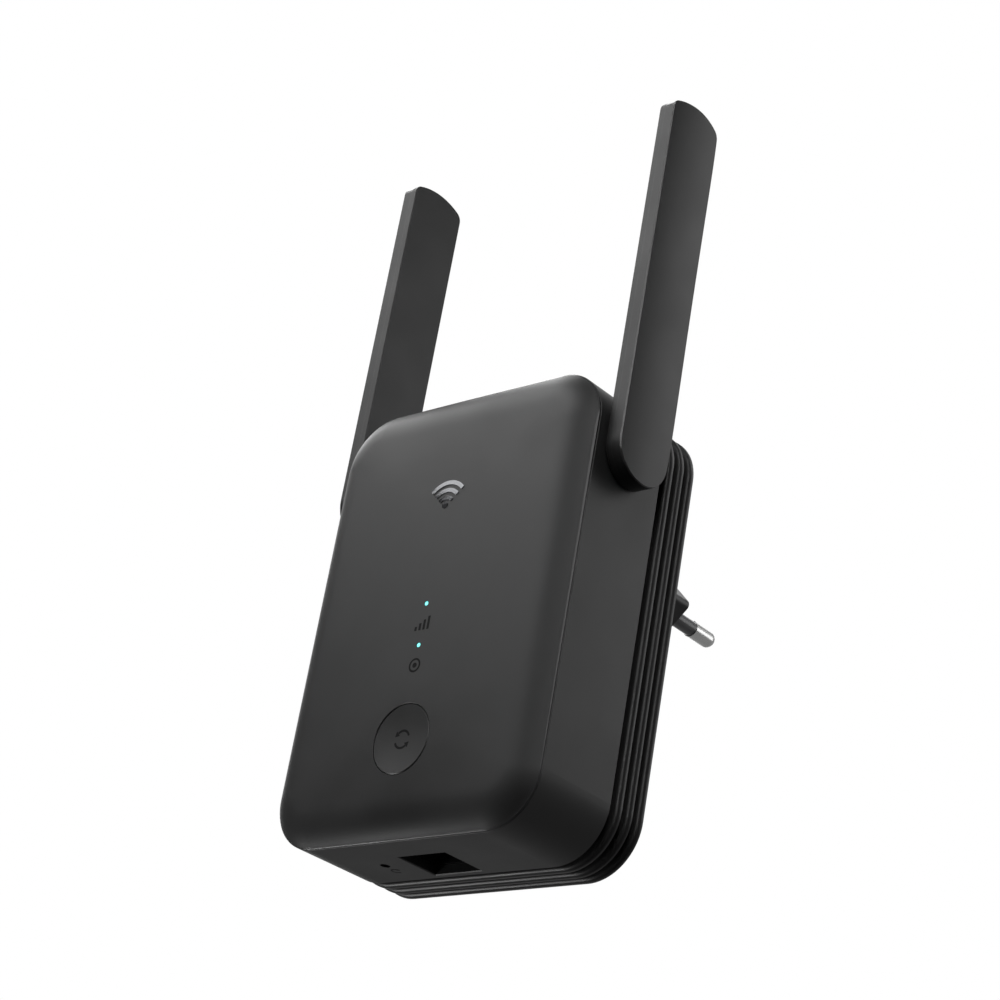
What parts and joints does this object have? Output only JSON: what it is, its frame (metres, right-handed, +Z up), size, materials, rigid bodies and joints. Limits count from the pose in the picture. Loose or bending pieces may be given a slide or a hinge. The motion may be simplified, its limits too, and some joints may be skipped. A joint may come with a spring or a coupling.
{
  "type": "wifi range extender",
  "caption": "Plug-in wifi range extender: rounded dark case with ribbed back, two folding side antennas, pairing button, network port and a two-pin wall plug.",
  "frame": {"origin": "centre of the wall plug's end face, midway between the two pins", "axes": "+Y points into the wall along the plug, the front faces -Y, +Z is up and +X is the right-hand side seen from the front"},
  "size_m": [0.0834, 0.084, 0.1716],
  "materials": {
    "case_plastic": "fine matt texture",
    "rear_plastic": "fine matt texture",
    "antenna_plastic": "fine matt texture",
    "button_plastic": "fine matt texture",
    "emblem_chrome": "polished",
    "label_film": "satin",
    "pin_nickel": "nickel plated",
    "sleeve_plastic": "semi-gloss",
    "contact_brass": "satin",
    "screw_steel": "zinc plated",
    "light_guide_clear": "clear, lit",
    "led_body": "gloss",
    "board_green": "solder resist",
    "shield_tin": "tinned",
    "thermal_rubber": "soft",
    "heatsink_aluminium": "extruded",
    "chip_epoxy": "moulded",
    "jack_plastic": "moulded",
    "coax_jacket": "smooth",
    "insulation_film": "film",
    "header_plastic": "moulded",
    "fuse_plastic": "moulded",
    "capacitor_sleeve": "shrink sleeve",
    "ferrite": "sintered",
    "winding_tape": "polyester tape",
    "film_capacitor": "dipped",
    "switch_metal": "stamped",
    "switch_plunger": "moulded"
  },
  "bodies": {
    "housing": {"antenna_sockets": "contact_brass", "board_screws": "screw_steel", "bridge_rectifier": "chip_epoxy", "case_screws": "screw_steel", "coax_left": "coax_jacket", "coax_right": "coax_jacket", "crystal": "shield_tin", "ethernet_jack": "jack_plastic", "filter_choke": "ferrite", "flash_chip": "chip_epoxy", "front_cover": "case_plastic", "front_emblem": "emblem_chrome", "heatsink": "heatsink_aluminium", "input_capacitors": "capacitor_sleeve", "insulation_sheet": "insulation_film", "jack_contacts": "contact_brass", "lan_transformer": "chip_epoxy", "light_guide": "light_guide_clear", "link_header": "header_plastic", "link_pins": "contact_brass", "main_board": "board_green", "main_shell": "case_plastic", "mains_fuse": "fuse_plastic", "optocoupler": "chip_epoxy", "output_capacitors": "capacitor_sleeve", "pairing_switch": "switch_metal", "pin_contacts": "contact_brass", "pin_sleeve_left": "sleeve_plastic", "pin_sleeve_right": "sleeve_plastic", "plug_insert": "rear_plastic", "plug_pin_left": "pin_nickel", "plug_pin_right": "pin_nickel", "power_board": "board_green", "radio_shield": "shield_tin", "rating_label": "label_film", "rear_cover": "rear_plastic", "reset_switch": "switch_plunger", "soc_shield": "shield_tin", "status_lights": "led_body", "suppression_capacitor": "film_capacitor", "thermal_pad": "thermal_rubber", "transformer_coil": "winding_tape", "transformer_core": "ferrite"},
    "antenna_left": {"antenna_left_outer": "antenna_plastic", "antenna_left_inner": "antenna_plastic", "antenna_left_clip": "screw_steel", "antenna_left_radiator": "board_green", "antenna_left_coax": "coax_jacket"},
    "antenna_right": {"antenna_right_outer": "antenna_plastic", "antenna_right_inner": "antenna_plastic", "antenna_right_clip": "screw_steel", "antenna_right_radiator": "board_green", "antenna_right_coax": "coax_jacket"},
    "pairing_button": {"button_cap": "button_plastic", "pairing_plunger": "switch_plunger"},
    "reset_button": {"reset_plunger": "switch_plunger"}
  },
  "joints": [
    {"name": "antenna_left_fold", "type": "hinge", "parent": "housing", "child": "antenna_left", "pos_m": [-0.039, -0.05035, 0.01055], "axis": [1, 0, 0], "range_deg": [0, 180]},
    {"name": "antenna_right_fold", "type": "hinge", "parent": "housing", "child": "antenna_right", "pos_m": [0.039, -0.05035, 0.01055], "axis": [1, 0, 0], "range_deg": [0, 180]},
    {"name": "pairing_press", "type": "slide", "parent": "housing", "child": "pairing_button", "axis": [0, 1, 0], "range_m": [0, 0.0006], "stiffness_N_per_m": 2000, "springref_m": -0.0003},
    {"name": "reset_press", "type": "slide", "parent": "housing", "child": "reset_button", "axis": [0, 0, 1], "range_m": [0, 0.0003], "stiffness_N_per_m": 2000, "springref_m": -0.0003}
  ]
}
